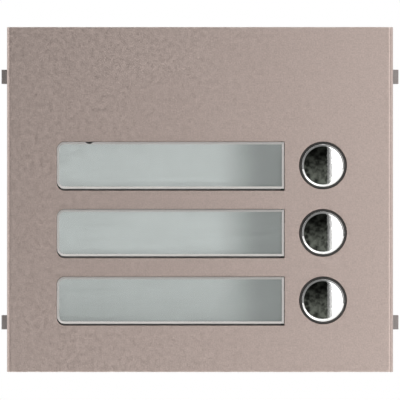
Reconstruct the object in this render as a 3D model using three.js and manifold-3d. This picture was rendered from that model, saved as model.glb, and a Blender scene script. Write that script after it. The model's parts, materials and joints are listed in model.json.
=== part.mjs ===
// Call-button module of a door entry panel: three name windows beside three sprung push buttons.
// Millimetres. X runs to the right across the face, Z up, and the face looks along -Y.
// The origin is on the flat back of the rear cover, behind the middle of the face plate.
import * as THREE from 'three';
import { mergeVertices } from 'three/addons/utils/BufferGeometryUtils.js';
import Module from 'manifold-3d';

const wasm = await Module();
wasm.setup();

// Face plate: an extruded channel whose side returns end in inward lips
const plateWidth = 120;
const plateHeight = 107.2;
const plateThickness = 2;
const plateEdgeRadius = 1.4;
const gasketThickness = 0.8;
const lipReach = 1.2;
const lipThickness = 1.2;

// Rows of label and button
const rowCount = 3;
const rowPitch = 20.95;
const bottomRowHeight = 22.3; // plate's lower edge to the middle of the lowest row
const leftMargin = 15.6; // plate's left edge to the labels
const rightMargin = 14.4; // buttons' holes to the plate's right edge
const labelToButtonGap = 4.7;
const labelHeight = 14.45;
const labelCornerRadius = 2.3; // at the left end only
const buttonHoleDiameter = 14.8;

// Label cover, card and light guide
const coverProud = 0.9;
const coverThickness = 2;
const coverBevel = 0.7;
const legThickness = 0.6; // one leg at each end of the cover
const legHeight = 6;
const legReach = 1.6; // how far the legs enter the chassis
const notchRadius = 1.4;
const notchDepth = 0.6;
const notchFromLeft = 10;
const cardThickness = 0.4;
const cardInset = 0.15; // card's edge behind the cover's edge
const guideInset = 0.8; // light guide's upper and lower sides inside the cover's
const guideFlangeReach = 1.2;
const guideFlangeThickness = 1.5;
const guideFootDiameter = 3;
const guideFootInset = 8;

// Push button, seal and return spring
const buttonTravel = 1.5;
const capProud = 1.4;
const capDomeHeight = 0.45;
const capBevelWidth = 0.65;
const capBevelDepth = 0.5;
const capFlangeReach = 1.3; // beyond the plate's hole, so that the cap stays in
const capFlangeThickness = 1;
const stemDiameter = 5;
const stemReach = 1.6; // past the guide's floor
const sealThickness = 0.8;
const springWire = 0.5;
const springTurns = 3.5;
const springMeanDiameter = 8;

// Chassis
const chassisWall = 2;
const chassisEndInset = 1; // from the plate's upper and lower edges
const trayEndStep = 1.2; // from the front flange's ends to the tray's ends
const guideWall = 1.2;
const guideDepth = 6;
const guideFloor = 1.5;
const cornerPostDiameter = 8;
const boardPostDiameter = 6;
const boardPostEndInset = 21;
const postRoot = 0.5; // how far a post sinks into the wall beside it
const lugReach = 1.9; // beyond the plate's side
const lugHeight = 4.4;
const lugDepth = 4.5;
const lugInset = 15.3; // plate's upper or lower edge to the lug's middle

// Rear cover and its wiring window
const rearCoverThickness = 3;
const rearCornerRadius = 2;
const windowWidth = 56;
const windowHeight = 26.5;
const windowFromBottom = 10; // rear cover's lower edge to the window

// Switches and circuit board
const switchSize = 10;
const switchHeight = 4.5;
const plungerDiameter = 4;
const plungerLength = 3.3;
const boardThickness = 1.6;
const wiringDepth = 6; // from the board's back to the rear cover
const ledSize = [3.5, 1.9, 2.8];
const chipSize = [10, 1.6, 10];
const chipPlace = [-15, 20];

// Terminal block and link header, both inside the wiring window
const terminalCount = 4;
const terminalPitch = 5.08;
const terminalEndWall = 0.5; // beyond the outer terminals
const terminalRecess = 1; // from the rear cover's back
const terminalLength = 8.5;
const terminalMiddleX = -12;
const wireHoleSize = 3.2;
const wireHoleDepth = 5;
const terminalScrewDiameter = 3.2;
const terminalScrewLength = 3.4;
const slotWidth = 0.7;
const slotDepth = 0.6;
const headerSize = [14, 6.5, 7];
const headerWall = 1.2;
const headerMiddleX = 16;

// Screws: shank and head
const rearScrew = { shank: 2.8, length: 9, head: 5.6, headHeight: 1.5, recess: 2.1 };
const boardScrew = { shank: 2.4, length: 6, head: 4.8, headHeight: 1.4 };
const pilotExtraDepth = 2;

// Clearances
const seamGap = 0.3; // between pieces that bear on each other
const fitGap = 0.3; // round a piece that passes through another
const windowGap = 0.3; // label cover to the plate's window
const windowLowerGap = 0.6; // the same below the cover, where a blade lifts it
const capGap = 0.8; // button cap to the plate's hole
const channelGap = 0.4; // chassis and gasket to the plate's returns
const boardGap = 0.6; // circuit board to the tray's walls and posts

// Facets, and how far a cutter runs past what it cuts
const roundSegments = 32;
const smallSegments = 20;
const shankSegments = 12;
const cornerSegments = 6;
const wireSegments = 3;
const springStepsPerTurn = 16;
const domeSteps = 4;
const overcut = 1;
const weldDistance = 1e-4;

// Everything from the plate's face to the back of the rear cover, with the seams between
const moduleDepth = plateThickness + gasketThickness + guideDepth + guideFloor + stemReach
  + buttonTravel + switchHeight + boardThickness + wiringDepth + rearCoverThickness + 5 * seamGap;

// Places along Y, from the face to the back
const plateFrontY = -moduleDepth;
const plateBackY = plateFrontY + plateThickness;
const gasketFrontY = plateBackY + seamGap;
const gasketBackY = gasketFrontY + gasketThickness;
const chassisFrontY = gasketBackY + seamGap;
const flangeBackY = chassisFrontY + chassisWall;
const lipFrontY = flangeBackY + seamGap;
const returnBackY = lipFrontY + lipThickness;
const lugFrontY = returnBackY + seamGap;
const guideFloorFrontY = chassisFrontY + guideDepth;
const guideFloorBackY = guideFloorFrontY + guideFloor;
const coverFrontY = plateFrontY - coverProud;
const coverBackY = coverFrontY + coverThickness;
const cardFrontY = coverBackY + seamGap;
const cardBackY = cardFrontY + cardThickness;
const lightGuideFrontY = cardBackY + seamGap;
const guideFlangeFrontY = flangeBackY + seamGap;
const guideFlangeBackY = guideFlangeFrontY + guideFlangeThickness;
const sealFrontY = plateBackY + seamGap;
const capFlangeFrontY = sealFrontY + sealThickness + seamGap;
const capFlangeBackY = capFlangeFrontY + capFlangeThickness;
const springFrontY = capFlangeBackY + seamGap;
const springBackY = guideFloorFrontY - seamGap;
const stemEndY = guideFloorBackY + stemReach;
const plungerFrontY = stemEndY + seamGap;
const plungerBackY = plungerFrontY + plungerLength;
const switchFrontY = plungerFrontY + buttonTravel + seamGap;
const switchBackY = switchFrontY + switchHeight;
const boardFrontY = switchBackY + seamGap;
const boardBackY = boardFrontY + boardThickness;
const rearCoverFrontY = -rearCoverThickness;
const trayBackY = rearCoverFrontY - seamGap;

// Places across the face
const labelLength = plateWidth - leftMargin - labelToButtonGap - buttonHoleDiameter - rightMargin;
const labelLeftX = leftMargin - plateWidth / 2;
const labelRightX = labelLeftX + labelLength;
const buttonX = plateWidth / 2 - rightMargin - buttonHoleDiameter / 2;
const rowZ = (row) => bottomRowHeight - plateHeight / 2 + (rowCount - row) * rowPitch;
const pocketHalfHeight = labelHeight / 2 + fitGap;
const guideLeftX = labelLeftX + legThickness + fitGap;
const guideRightX = labelRightX - legThickness - fitGap;
const guideHalfHeight = labelHeight / 2 - guideInset;
const capRadius = buttonHoleDiameter / 2 - capGap;
const capFlangeRadius = buttonHoleDiameter / 2 + capFlangeReach;
const guideBoreRadius = capFlangeRadius + fitGap;

// Outlines of the chassis, seen from the front
const channelHalfWidth = plateWidth / 2 - plateThickness - channelGap;
const channelHalfHeight = plateHeight / 2 - chassisEndInset;
const trayHalfWidth = plateWidth / 2 - plateThickness - lipReach - channelGap;
const trayHalfHeight = channelHalfHeight - trayEndStep;
const innerHalfWidth = trayHalfWidth - chassisWall;
const innerHalfHeight = trayHalfHeight - chassisWall;
const cornerPostX = innerHalfWidth - cornerPostDiameter / 2 + postRoot;
const cornerPostZ = innerHalfHeight - cornerPostDiameter / 2 + postRoot;
const boardPostX = innerHalfWidth - boardPostDiameter / 2 + postRoot;
const boardPostZ = innerHalfHeight - boardPostEndInset;
const lugZ = plateHeight / 2 - lugInset;

// The wiring window, and the row of terminals along its upper edge
const windowBottomZ = windowFromBottom - trayHalfHeight;
const windowTopZ = windowBottomZ + windowHeight;
const terminalFrontY = boardBackY + seamGap;
const terminalBackY = -terminalRecess;
const terminalTopZ = windowTopZ - windowGap;
const terminalBottomZ = terminalTopZ - terminalLength;
const terminalWidth = terminalCount * terminalPitch + 2 * terminalEndWall;
const terminalX = (place) => terminalMiddleX + (place - (terminalCount + 1) / 2) * terminalPitch;

// ---- Making solids ----

const cube = (low, high) => {
  const size = high.map((value, axis) => value - low[axis]);
  const middle = high.map((value, axis) => (value + low[axis]) / 2);
  return new THREE.BoxGeometry(...size).translate(...middle);
};

// A round bar along Y
const rod = (radius, x, z, frontY, backY, segments = roundSegments) =>
  new THREE.CylinderGeometry(radius, radius, backY - frontY, segments)
    .translate(x, (frontY + backY) / 2, z);

// A sheet whose outline is drawn in X and Z
const sheet = (outline, frontY, backY) =>
  new THREE.ExtrudeGeometry(outline, {
    depth: backY - frontY,
    bevelEnabled: false,
    curveSegments: cornerSegments,
  })
    .rotateX(Math.PI / 2)
    .translate(0, backY, 0);

// A piece turned about an axis along Y; its profile is [radius, y] points from front to back
const turned = (profile, x, z, segments = roundSegments) => {
  const points = profile.map(([radius, y]) => new THREE.Vector2(radius, y));
  return new THREE.LatheGeometry(points, segments).translate(x, 0, z);
};

const solidOf = (geometry) => {
  const plain = geometry.clone();
  plain.deleteAttribute('normal');
  plain.deleteAttribute('uv');
  const merged = mergeVertices(plain, weldDistance);
  const corners = Array.from(merged.index.array);
  const triangles = [];
  for (let start = 0; start < corners.length; start += 3) {
    const triangle = corners.slice(start, start + 3);
    if (new Set(triangle).size === 3) {
      triangles.push(...triangle);
    }
  }
  const mesh = new wasm.Mesh({
    numProp: 3,
    vertProperties: new Float32Array(merged.attributes.position.array),
    triVerts: new Uint32Array(triangles),
  });
  mesh.merge();
  return new wasm.Manifold(mesh);
};

const geometryOf = (solid) => {
  const mesh = solid.getMesh();
  const geometry = new THREE.BufferGeometry();
  geometry.setAttribute('position', new THREE.BufferAttribute(mesh.vertProperties, 3));
  geometry.setIndex(new THREE.BufferAttribute(mesh.triVerts, 1));
  geometry.computeVertexNormals();
  return geometry;
};

// Joins the first list and cuts the second from it
const shaped = (joined, cut = []) => {
  let solid = solidOf(joined[0]);
  joined.slice(1).forEach((geometry) => {
    solid = solid.add(solidOf(geometry));
  });
  cut.forEach((geometry) => {
    solid = solid.subtract(solidOf(geometry));
  });
  return geometryOf(solid);
};

const rectangle = (left, right, bottom, top) => {
  const outline = new THREE.Shape();
  outline.moveTo(left, bottom);
  outline.lineTo(right, bottom);
  outline.lineTo(right, top);
  outline.lineTo(left, top);
  outline.closePath();
  return outline;
};

// The label's outline, grown outwards: round at the left end, square at the right
const labelOutline = (row, grow, growBelow = grow) => {
  const left = labelLeftX - grow;
  const right = labelRightX + grow;
  const bottom = rowZ(row) - labelHeight / 2 - growBelow;
  const top = rowZ(row) + labelHeight / 2 + grow;
  const radius = labelCornerRadius + grow;
  const outline = new THREE.Shape();
  outline.moveTo(left + radius, bottom);
  outline.lineTo(right, bottom);
  outline.lineTo(right, top);
  outline.lineTo(left + radius, top);
  outline.absarc(left + radius, top - radius, radius, Math.PI / 2, Math.PI, false);
  outline.lineTo(left, bottom + radius);
  outline.absarc(left + radius, bottom + radius, radius, Math.PI, 1.5 * Math.PI, false);
  return outline;
};

const rows = Array.from({ length: rowCount }, (_, index) => index + 1);
const corners = [[-1, 1], [1, 1], [-1, -1], [1, -1]];

// ---- Finishes ----

const finish = (color, roughness, metalness = 0) =>
  new THREE.MeshStandardMaterial({ color, roughness, metalness });

const finishes = {
  anodised: () => finish(0xaa978f, 0.45, 0.8),
  greyPlastic: () => finish(0xa39b98, 0.6),
  clear: () => finish(0xc8d0cb, 0.1),
  labelFilm: () => finish(0xb0b5b0, 0.4, 0.3),
  diffuser: () => finish(0xe6e6e0, 0.5),
  chrome: () => finish(0xdcdcdc, 0.06, 1),
  rubber: () => finish(0x161616, 0.8),
  springSteel: () => finish(0x9a9a9a, 0.3, 1),
  blackPlastic: () => finish(0x1c1c1e, 0.5),
  boardGreen: () => finish(0x1f5a37, 0.4),
  ledBody: () => finish(0xf2efe0, 0.3),
  terminalGreen: () => finish(0x3c7a4e, 0.5),
  zincScrew: () => finish(0xb5b5b0, 0.35, 1),
};

// ---- Shells ----

const facePlate = () => {
  const halfWidth = plateWidth / 2;
  const innerWidth = halfWidth - plateThickness;
  const lipWidth = innerWidth - lipReach;
  const section = new THREE.Shape();
  section.moveTo(-halfWidth, returnBackY);
  section.lineTo(-halfWidth, plateFrontY + plateEdgeRadius);
  section.absarc(
    plateEdgeRadius - halfWidth, plateFrontY + plateEdgeRadius, plateEdgeRadius, Math.PI, 1.5 * Math.PI,
  );
  section.lineTo(halfWidth - plateEdgeRadius, plateFrontY);
  section.absarc(
    halfWidth - plateEdgeRadius, plateFrontY + plateEdgeRadius, plateEdgeRadius, 1.5 * Math.PI, 2 * Math.PI,
  );
  section.lineTo(halfWidth, returnBackY);
  section.lineTo(lipWidth, returnBackY);
  section.lineTo(lipWidth, lipFrontY);
  section.lineTo(innerWidth, lipFrontY);
  section.lineTo(innerWidth, plateBackY);
  section.lineTo(-innerWidth, plateBackY);
  section.lineTo(-innerWidth, lipFrontY);
  section.lineTo(-lipWidth, lipFrontY);
  section.lineTo(-lipWidth, returnBackY);
  section.closePath();
  const channel = new THREE.ExtrudeGeometry(section, {
    depth: plateHeight,
    bevelEnabled: false,
    curveSegments: cornerSegments,
  }).translate(0, 0, -plateHeight / 2);
  const windows = rows.map((row) =>
    sheet(labelOutline(row, windowGap, windowLowerGap), plateFrontY - overcut, plateBackY + overcut));
  const holes = rows.map((row) =>
    rod(buttonHoleDiameter / 2, buttonX, rowZ(row), plateFrontY - overcut, plateBackY + overcut));
  return shaped([channel], [...windows, ...holes]);
};

const plateGasket = () => {
  const blank = cube(
    [-channelHalfWidth, gasketFrontY, -channelHalfHeight],
    [channelHalfWidth, gasketBackY, channelHalfHeight],
  );
  const windows = rows.map((row) =>
    sheet(labelOutline(row, windowGap, windowLowerGap), gasketFrontY - overcut, gasketBackY + overcut));
  const holes = rows.map((row) =>
    rod(guideBoreRadius, buttonX, rowZ(row), gasketFrontY - overcut, gasketBackY + overcut));
  return shaped([blank], [...windows, ...holes]);
};

const chassis = () => {
  const pilotDepth = (screw) => screw.length + pilotExtraDepth;
  const flange = cube(
    [-channelHalfWidth, chassisFrontY, -channelHalfHeight],
    [channelHalfWidth, flangeBackY, channelHalfHeight],
  );
  const walls = shaped(
    [cube(
      [-trayHalfWidth, chassisFrontY, -trayHalfHeight],
      [trayHalfWidth, trayBackY, trayHalfHeight],
    )],
    [cube(
      [-innerHalfWidth, flangeBackY, -innerHalfHeight],
      [innerHalfWidth, trayBackY + overcut, innerHalfHeight],
    )],
  );
  const joined = [walls, flange];
  const cut = [];
  corners.forEach(([side, end]) => {
    const cornerX = side * cornerPostX;
    const cornerZ = end * cornerPostZ;
    const boardX = side * boardPostX;
    const boardZ = end * boardPostZ;
    const postFrontY = flangeBackY - postRoot;
    const boardPostBackY = boardFrontY - seamGap;
    joined.push(rod(cornerPostDiameter / 2, cornerX, cornerZ, postFrontY, trayBackY, smallSegments));
    joined.push(rod(boardPostDiameter / 2, boardX, boardZ, postFrontY, boardPostBackY, smallSegments));
    const lugInnerX = trayHalfWidth - postRoot;
    const lugOuterX = plateWidth / 2 + lugReach;
    joined.push(cube(
      [Math.min(side * lugInnerX, side * lugOuterX), lugFrontY, end * lugZ - lugHeight / 2],
      [Math.max(side * lugInnerX, side * lugOuterX), lugFrontY + lugDepth, end * lugZ + lugHeight / 2],
    ));
    const rearPilot = rearScrew.shank / 2 + fitGap;
    const boardPilot = boardScrew.shank / 2 + fitGap;
    cut.push(rod(
      rearPilot, cornerX, cornerZ, trayBackY - pilotDepth(rearScrew), trayBackY + overcut, smallSegments,
    ));
    cut.push(rod(
      boardPilot, boardX, boardZ,
      boardPostBackY - pilotDepth(boardScrew), boardPostBackY + overcut, smallSegments,
    ));
  });
  rows.forEach((row) => {
    joined.push(rod(guideBoreRadius + guideWall, buttonX, rowZ(row), chassisFrontY, guideFloorBackY));
    cut.push(rod(guideBoreRadius, buttonX, rowZ(row), chassisFrontY - overcut, guideFloorFrontY));
    cut.push(rod(
      stemDiameter / 2 + fitGap, buttonX, rowZ(row), chassisFrontY, guideFloorBackY + overcut,
    ));
    cut.push(cube(
      [labelLeftX - fitGap, chassisFrontY - overcut, rowZ(row) - pocketHalfHeight],
      [labelRightX + fitGap, flangeBackY + overcut, rowZ(row) + pocketHalfHeight],
    ));
  });
  return shaped(joined, cut);
};

const rearCover = () => {
  const outline = new THREE.Shape();
  const width = trayHalfWidth - rearCornerRadius;
  const height = trayHalfHeight - rearCornerRadius;
  outline.absarc(width, height, rearCornerRadius, 0, Math.PI / 2);
  outline.absarc(-width, height, rearCornerRadius, Math.PI / 2, Math.PI);
  outline.absarc(-width, -height, rearCornerRadius, Math.PI, 1.5 * Math.PI);
  outline.absarc(width, -height, rearCornerRadius, 1.5 * Math.PI, 2 * Math.PI);
  outline.holes.push(rectangle(-windowWidth / 2, windowWidth / 2, windowBottomZ, windowTopZ));
  const cut = [];
  corners.forEach(([side, end]) => {
    const x = side * cornerPostX;
    const z = end * cornerPostZ;
    cut.push(rod(
      rearScrew.shank / 2 + fitGap, x, z, rearCoverFrontY - overcut, overcut, smallSegments,
    ));
    cut.push(rod(rearScrew.head / 2 + fitGap, x, z, -rearScrew.recess, overcut, smallSegments));
  });
  return shaped([sheet(outline, rearCoverFrontY, 0)], cut);
};

// ---- Label pieces ----

// The left and right ends of the legs, widened by a gap
const legSpans = (gap) => [
  [labelLeftX - gap, labelLeftX + legThickness + gap],
  [labelRightX - legThickness - gap, labelRightX + gap],
];

// A clear bevelled lid with a leg at each end; only the first has a notch to lift it by
const labelCover = (row) => {
  const middleZ = rowZ(row);
  const lidDepth = 2 * coverThickness;
  const lid = new THREE.ExtrudeGeometry(labelOutline(row, -coverBevel), {
    depth: lidDepth - 2 * coverBevel,
    bevelEnabled: true,
    bevelThickness: coverBevel,
    bevelSize: coverBevel,
    bevelSegments: 1,
    curveSegments: cornerSegments,
  })
    .rotateX(Math.PI / 2)
    .translate(0, coverFrontY + lidDepth - coverBevel, 0);
  const behindLid = cube(
    [labelLeftX - overcut, coverBackY, middleZ - labelHeight],
    [labelRightX + overcut, coverFrontY + lidDepth + overcut, middleZ + labelHeight],
  );
  const halved = shaped([lid], [behindLid]);
  const legs = legSpans(0).map(([leftX, rightX]) => cube(
    [leftX, coverBackY - postRoot, middleZ - legHeight / 2],
    [rightX, chassisFrontY + legReach, middleZ + legHeight / 2],
  ));
  const notch = rod(
    notchRadius, labelLeftX + notchFromLeft, middleZ + labelHeight / 2 + notchRadius - notchDepth,
    coverFrontY - overcut, coverBackY + overcut, smallSegments,
  );
  return shaped([halved, ...legs], row === 1 ? [notch] : []);
};

const labelCard = (row) => {
  const card = sheet(labelOutline(row, -cardInset), cardFrontY, cardBackY);
  const notches = legSpans(fitGap).map(([leftX, rightX]) => cube(
    [leftX, cardFrontY - overcut, rowZ(row) - legHeight / 2 - fitGap],
    [rightX, cardBackY + overcut, rowZ(row) + legHeight / 2 + fitGap],
  ));
  return shaped([card], notches);
};

const footX = [guideLeftX + guideFootInset, guideRightX - guideFootInset];

const lightGuide = (row) => {
  const flangeHalfHeight = pocketHalfHeight + guideFlangeReach;
  const block = cube(
    [guideLeftX, lightGuideFrontY, rowZ(row) - guideHalfHeight],
    [guideRightX, guideFlangeBackY, rowZ(row) + guideHalfHeight],
  );
  const flange = cube(
    [guideLeftX, guideFlangeFrontY, rowZ(row) - flangeHalfHeight],
    [guideRightX, guideFlangeBackY, rowZ(row) + flangeHalfHeight],
  );
  const feet = footX.map((x) => rod(
    guideFootDiameter / 2, x, rowZ(row),
    guideFlangeBackY - postRoot, boardFrontY - seamGap, shankSegments,
  ));
  return shaped([block, flange, ...feet]);
};

// ---- Button pieces ----

const buttonCap = (row) => {
  const faceRadius = capRadius - capBevelWidth;
  const faceEdgeY = plateFrontY - capProud + capDomeHeight;
  const dome = Array.from({ length: domeSteps + 1 }, (_, step) => {
    const radius = (faceRadius * step) / domeSteps;
    return [radius, faceEdgeY - capDomeHeight * (1 - (radius / faceRadius) ** 2)];
  });
  const profile = [
    ...dome,
    [capRadius, faceEdgeY + capBevelDepth],
    [capRadius, capFlangeFrontY],
    [capFlangeRadius, capFlangeFrontY],
    [capFlangeRadius, capFlangeBackY],
    [stemDiameter / 2, capFlangeBackY],
    [stemDiameter / 2, stemEndY],
    [0, stemEndY],
  ];
  return turned(profile, buttonX, rowZ(row));
};

const buttonSeal = (row) => {
  const innerRadius = capRadius + fitGap;
  const profile = [
    [innerRadius, sealFrontY],
    [capFlangeRadius, sealFrontY],
    [capFlangeRadius, sealFrontY + sealThickness],
    [innerRadius, sealFrontY + sealThickness],
    [innerRadius, sealFrontY],
  ];
  return turned(profile, buttonX, rowZ(row));
};

class Helix extends THREE.Curve {
  constructor(x, z) {
    super();
    this.x = x;
    this.z = z;
  }

  getPoint(share, target = new THREE.Vector3()) {
    const angle = share * springTurns * 2 * Math.PI;
    const radius = springMeanDiameter / 2;
    const frontY = springFrontY + springWire / 2;
    const backY = springBackY - springWire / 2;
    return target.set(
      this.x + radius * Math.cos(angle),
      frontY + (backY - frontY) * share,
      this.z + radius * Math.sin(angle),
    );
  }
}

const buttonSpring = (row) => {
  const wire = new THREE.Shape();
  wire.absarc(0, 0, springWire / 2, 0, 2 * Math.PI);
  return new THREE.ExtrudeGeometry(wire, {
    steps: Math.round(springTurns * springStepsPerTurn),
    curveSegments: wireSegments,
    bevelEnabled: false,
    extrudePath: new Helix(buttonX, rowZ(row)),
  });
};

const switchBody = (row) => shaped(
  [cube(
    [buttonX - switchSize / 2, switchFrontY, rowZ(row) - switchSize / 2],
    [buttonX + switchSize / 2, switchBackY, rowZ(row) + switchSize / 2],
  )],
  [rod(
    plungerDiameter / 2 + fitGap, buttonX, rowZ(row),
    switchFrontY - overcut, plungerBackY + buttonTravel + seamGap, smallSegments,
  )],
);

const switchPlunger = (row) =>
  rod(plungerDiameter / 2, buttonX, rowZ(row), plungerFrontY, plungerBackY, smallSegments);

// ---- Circuit board and what it carries ----

const circuitBoard = () => {
  const halfWidth = innerHalfWidth - boardGap;
  const halfHeight = innerHalfHeight - boardGap;
  const notches = corners.map(([side, end]) => {
    const notchX = side * (cornerPostX - cornerPostDiameter / 2 - boardGap);
    const notchZ = end * (cornerPostZ - cornerPostDiameter / 2 - boardGap);
    const outerX = side * (halfWidth + overcut);
    const outerZ = end * (halfHeight + overcut);
    return cube(
      [Math.min(notchX, outerX), boardFrontY - overcut, Math.min(notchZ, outerZ)],
      [Math.max(notchX, outerX), boardBackY + overcut, Math.max(notchZ, outerZ)],
    );
  });
  const holes = corners.map(([side, end]) => rod(
    boardScrew.shank / 2 + fitGap, side * boardPostX, end * boardPostZ,
    boardFrontY - overcut, boardBackY + overcut, smallSegments,
  ));
  return shaped(
    [cube([-halfWidth, boardFrontY, -halfHeight], [halfWidth, boardBackY, halfHeight])],
    [...notches, ...holes],
  );
};

// A box on the board's front (side -1) or back (side 1)
const onBoard = ([width, depth, height], x, z, side) => {
  const nearY = side > 0 ? boardBackY + seamGap : boardFrontY - seamGap - depth;
  return cube([x - width / 2, nearY, z - height / 2], [x + width / 2, nearY + depth, z + height / 2]);
};

const terminalPlaces = Array.from({ length: terminalCount }, (_, index) => index + 1);
const terminalMiddleZ = (terminalTopZ + terminalBottomZ) / 2;

const terminalBlock = () => {
  const body = cube(
    [terminalMiddleX - terminalWidth / 2, terminalFrontY, terminalBottomZ],
    [terminalMiddleX + terminalWidth / 2, terminalBackY, terminalTopZ],
  );
  const cut = [];
  terminalPlaces.forEach((place) => {
    const x = terminalX(place);
    const wireY = terminalFrontY + wireHoleSize;
    cut.push(cube(
      [x - wireHoleSize / 2, wireY - wireHoleSize / 2, terminalBottomZ - overcut],
      [x + wireHoleSize / 2, wireY + wireHoleSize / 2, terminalBottomZ + wireHoleDepth],
    ));
    cut.push(rod(
      terminalScrewDiameter / 2 + fitGap, x, terminalMiddleZ,
      terminalBackY - terminalScrewLength, terminalBackY + overcut, smallSegments,
    ));
  });
  return shaped([body], cut);
};

// A slotted head on a shank; the head's flat end is at headY and faces +Y
const screwGeometry = (screw, x, z, headY) => {
  const shoulderY = headY - screw.headHeight;
  const head = rod(screw.head / 2, x, z, shoulderY, headY, smallSegments);
  const shank = rod(screw.shank / 2, x, z, shoulderY - screw.length, shoulderY + postRoot, shankSegments);
  const slot = cube(
    [x - screw.head, headY - slotDepth, z - slotWidth / 2],
    [x + screw.head, headY + overcut, z + slotWidth / 2],
  );
  return shaped([head, shank], [slot]);
};

const terminalScrew = (place) => {
  const x = terminalX(place);
  const backY = terminalBackY - seamGap;
  const bar = rod(
    terminalScrewDiameter / 2, x, terminalMiddleZ,
    terminalBackY - terminalScrewLength + seamGap, backY, smallSegments,
  );
  const slot = cube(
    [x - terminalScrewDiameter, backY - slotDepth, terminalMiddleZ - slotWidth / 2],
    [x + terminalScrewDiameter, backY + overcut, terminalMiddleZ + slotWidth / 2],
  );
  return shaped([bar], [slot]);
};

const linkHeader = () => {
  const [width, depth, height] = headerSize;
  const middleZ = terminalTopZ - height / 2;
  const body = onBoard(headerSize, headerMiddleX, middleZ, 1);
  const hollowHalfWidth = width / 2 - headerWall;
  const hollowHalfHeight = height / 2 - headerWall;
  const hollow = cube(
    [headerMiddleX - hollowHalfWidth, terminalFrontY + headerWall, middleZ - hollowHalfHeight],
    [headerMiddleX + hollowHalfWidth, terminalFrontY + depth + overcut, middleZ + hollowHalfHeight],
  );
  return shaped([body], [hollow]);
};

// ---- Assembly ----

const callModule = new THREE.Group();

const place = (name, geometry, material) => {
  const mesh = new THREE.Mesh(geometry, material);
  mesh.name = name;
  callModule.add(mesh);
};

place('face_plate', facePlate(), finishes.anodised());
place('plate_gasket', plateGasket(), finishes.rubber());
place('chassis', chassis(), finishes.greyPlastic());
place('rear_cover', rearCover(), finishes.greyPlastic());

rows.forEach((row) => {
  place(`label_cover_${row}`, labelCover(row), finishes.clear());
  place(`label_card_${row}`, labelCard(row), finishes.labelFilm());
  place(`light_guide_${row}`, lightGuide(row), finishes.diffuser());
  place(`button_cap_${row}`, buttonCap(row), finishes.chrome());
  place(`button_seal_${row}`, buttonSeal(row), finishes.rubber());
  place(`button_spring_${row}`, buttonSpring(row), finishes.springSteel());
  place(`switch_body_${row}`, switchBody(row), finishes.blackPlastic());
  place(`switch_plunger_${row}`, switchPlunger(row), finishes.rubber());
  const ledXs = [(3 * footX[0] + footX[1]) / 4, (footX[0] + 3 * footX[1]) / 4];
  ledXs.forEach((x, index) => {
    place(`led_${2 * row - 1 + index}`, onBoard(ledSize, x, rowZ(row), -1), finishes.ledBody());
  });
});

place('circuit_board', circuitBoard(), finishes.boardGreen());
place('control_chip', onBoard(chipSize, ...chipPlace, 1), finishes.blackPlastic());
place('terminal_block', terminalBlock(), finishes.terminalGreen());
place('link_header', linkHeader(), finishes.blackPlastic());

terminalPlaces.forEach((number) => {
  place(`terminal_screw_${number}`, terminalScrew(number), finishes.zincScrew());
});

corners.forEach(([side, end], index) => {
  const number = index + 1;
  const rearHeadY = rearScrew.headHeight - rearScrew.recess + seamGap;
  const boardHeadY = boardBackY + seamGap + boardScrew.headHeight;
  place(
    `rear_screw_${number}`,
    screwGeometry(rearScrew, side * cornerPostX, end * cornerPostZ, rearHeadY),
    finishes.zincScrew(),
  );
  place(
    `board_screw_${number}`,
    screwGeometry(boardScrew, side * boardPostX, end * boardPostZ, boardHeadY),
    finishes.zincScrew(),
  );
});

export default callModule;
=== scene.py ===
import json
import math
import re

import bmesh
import bpy
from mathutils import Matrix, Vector


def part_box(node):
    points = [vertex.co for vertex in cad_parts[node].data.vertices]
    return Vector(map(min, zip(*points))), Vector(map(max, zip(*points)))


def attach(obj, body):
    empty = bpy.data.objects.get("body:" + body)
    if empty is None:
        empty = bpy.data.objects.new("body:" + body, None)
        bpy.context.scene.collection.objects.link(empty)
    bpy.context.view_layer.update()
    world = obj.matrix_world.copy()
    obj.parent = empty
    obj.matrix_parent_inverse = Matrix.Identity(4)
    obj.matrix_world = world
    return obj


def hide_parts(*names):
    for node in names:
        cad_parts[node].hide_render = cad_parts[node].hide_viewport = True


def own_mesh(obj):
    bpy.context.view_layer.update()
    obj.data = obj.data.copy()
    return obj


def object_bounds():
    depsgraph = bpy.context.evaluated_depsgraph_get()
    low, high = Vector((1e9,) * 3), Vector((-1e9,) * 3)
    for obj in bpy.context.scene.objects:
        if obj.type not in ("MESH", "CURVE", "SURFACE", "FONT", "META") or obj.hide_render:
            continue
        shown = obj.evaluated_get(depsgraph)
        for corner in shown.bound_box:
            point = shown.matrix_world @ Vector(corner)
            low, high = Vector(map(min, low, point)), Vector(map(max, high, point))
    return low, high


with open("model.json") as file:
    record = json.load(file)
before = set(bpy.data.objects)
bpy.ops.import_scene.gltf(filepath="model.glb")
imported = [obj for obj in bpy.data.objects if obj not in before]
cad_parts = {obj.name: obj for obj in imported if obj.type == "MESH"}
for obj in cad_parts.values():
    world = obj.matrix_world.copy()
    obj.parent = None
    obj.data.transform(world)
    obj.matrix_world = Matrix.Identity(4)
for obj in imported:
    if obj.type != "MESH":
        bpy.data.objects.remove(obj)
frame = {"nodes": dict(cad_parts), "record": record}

# Door entry call module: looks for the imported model. Metres, face towards -Y, Z up.
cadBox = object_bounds()
mm = 0.001
rowNumbers = (1, 2, 3)


# small helpers for working by hand

def leaveEdit():
    bpy.ops.object.mode_set(mode="OBJECT")


def letGo():
    if bpy.context.object and bpy.context.object.mode != "OBJECT":
        leaveEdit()
    bpy.ops.object.select_all(action="DESELECT")


def takeHold(piece):
    letGo()
    piece.select_set(True)
    bpy.context.view_layer.objects.active = piece


def bakePlace(piece, name):
    takeHold(piece)
    bpy.ops.object.transform_apply(location=True, rotation=True, scale=True)
    piece.name = name
    piece.data.name = name
    return piece


def addBlock(name, low, high):
    letGo()
    low, high = Vector(low), Vector(high)
    bpy.ops.mesh.primitive_cube_add(size=1, location=(low + high) / 2, scale=high - low)
    return bakePlace(bpy.context.object, name)


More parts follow.
